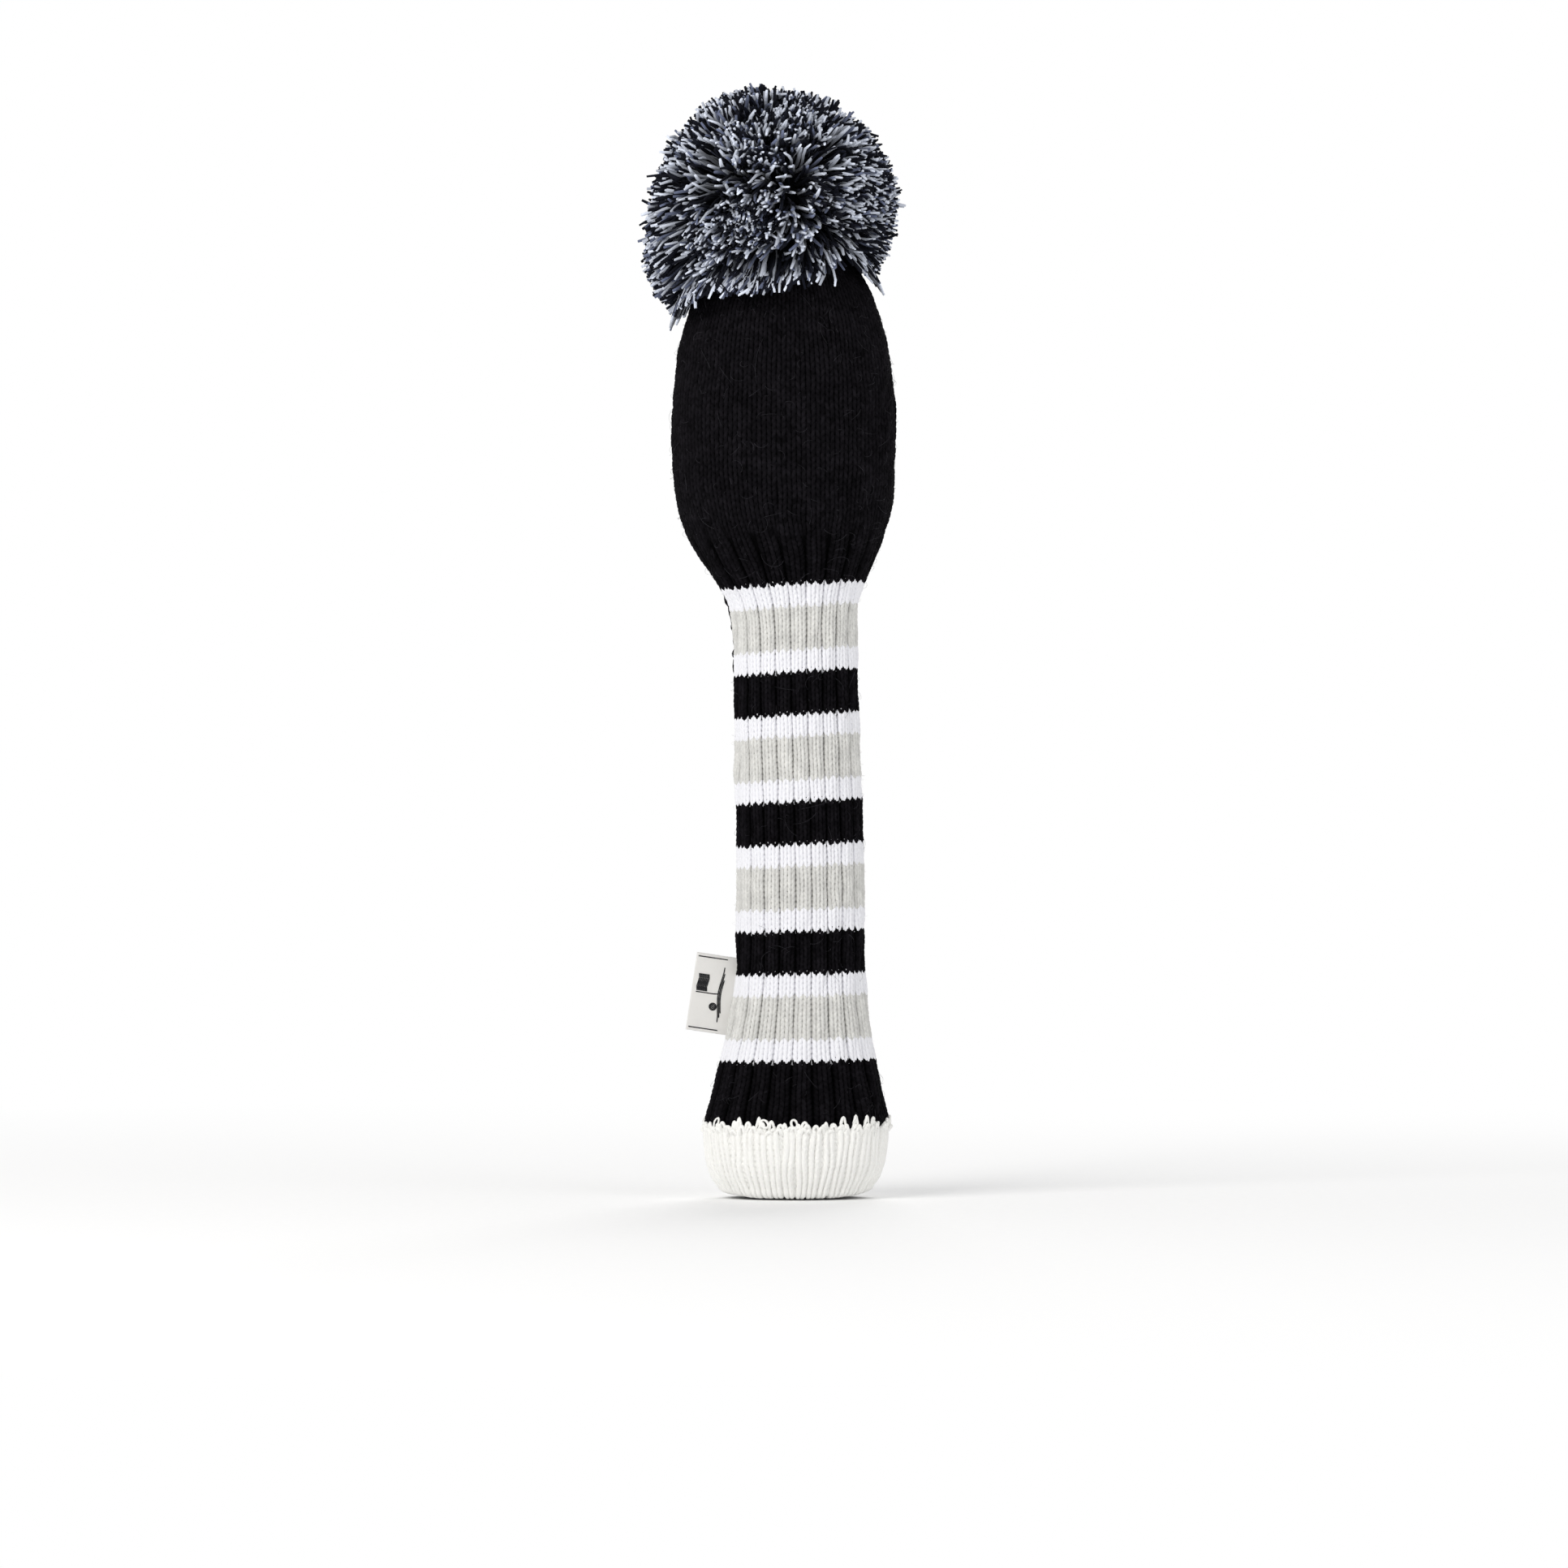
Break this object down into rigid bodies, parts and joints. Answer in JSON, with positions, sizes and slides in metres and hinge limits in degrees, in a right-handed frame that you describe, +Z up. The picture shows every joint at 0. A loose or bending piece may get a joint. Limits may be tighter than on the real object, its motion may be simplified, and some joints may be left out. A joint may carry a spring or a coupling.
{
  "type": "golf head cover",
  "caption": "Knitted golf club head cover: a sock with a rounded head pocket, a striped ribbed neck, a flared cuff, a pom-pom on the crown and a side label.",
  "frame": {"origin": "centre of the cuff's mouth, on the club shaft's axis", "axes": "+Z up along the shaft's axis towards the pom-pom, -X to the side seam and its label, -Y to the front"},
  "size_m": [0.087, 0.087, 0.3868],
  "materials": {
    "black_yarn": "matte knitted yarn",
    "white_yarn": "matte knitted yarn",
    "grey_yarn": "matte knitted yarn",
    "cuff_yarn": "matte ribbed yarn",
    "pompom_yarn": "cut yarn pile, black and pale lavender grey",
    "lining": "soft fleece",
    "elastic": "woven elastic",
    "label_ribbon": "woven ribbon"
  },
  "bodies": {
    "cover": {"stripe_4_white_lower": "white_yarn", "stripe_4_white_upper": "white_yarn", "stripe_3_white_lower": "white_yarn", "stripe_3_white_upper": "white_yarn", "stripe_2_white_lower": "white_yarn", "stripe_2_white_upper": "white_yarn", "stripe_1_white_lower": "white_yarn", "stripe_1_white_upper": "white_yarn", "stripe_4_grey": "grey_yarn", "stripe_3_grey": "grey_yarn", "stripe_2_grey": "grey_yarn", "stripe_1_grey": "grey_yarn", "black_band_3": "black_yarn", "black_band_2": "black_yarn", "black_band_1": "black_yarn", "flare_band": "black_yarn", "rib_taper": "black_yarn", "knit_body": "black_yarn", "side_seam": "black_yarn", "crown_gather_yarn": "black_yarn", "tie_anchor": "black_yarn", "cuff": "cuff_yarn", "cuff_linking_yarn": "cuff_yarn", "cuff_elastic": "elastic", "shaft_collar": "elastic", "neck_liner": "lining", "head_liner": "lining", "label_tab": "label_ribbon"},
    "pompom_tie": {"pompom_tie": "black_yarn"},
    "pompom": {"pompom_pile": "pompom_yarn", "pompom_binding": "black_yarn"},
    "label": {"label_ribbon": "label_ribbon"}
  },
  "joints": [
    {"name": "pompom_nod", "type": "hinge", "parent": "cover", "child": "pompom_tie", "pos_m": [-0.004, 0, 0.33235], "axis": [1, 0, 0], "range_deg": [-12, 12], "stiffness_Nm_per_rad": 0.25},
    {"name": "pompom_sway", "type": "hinge", "parent": "pompom_tie", "child": "pompom", "pos_m": [-0.004, 0, 0.33525], "axis": [0, 1, 0], "range_deg": [-12, 12], "stiffness_Nm_per_rad": 0.25},
    {"name": "label_flap", "type": "hinge", "parent": "cover", "child": "label", "pos_m": [-0.02321, 0, 0.0694], "axis": [0.1478, 0, 0.989], "range_deg": [-80, 80], "stiffness_Nm_per_rad": 0.0005}
  ]
}
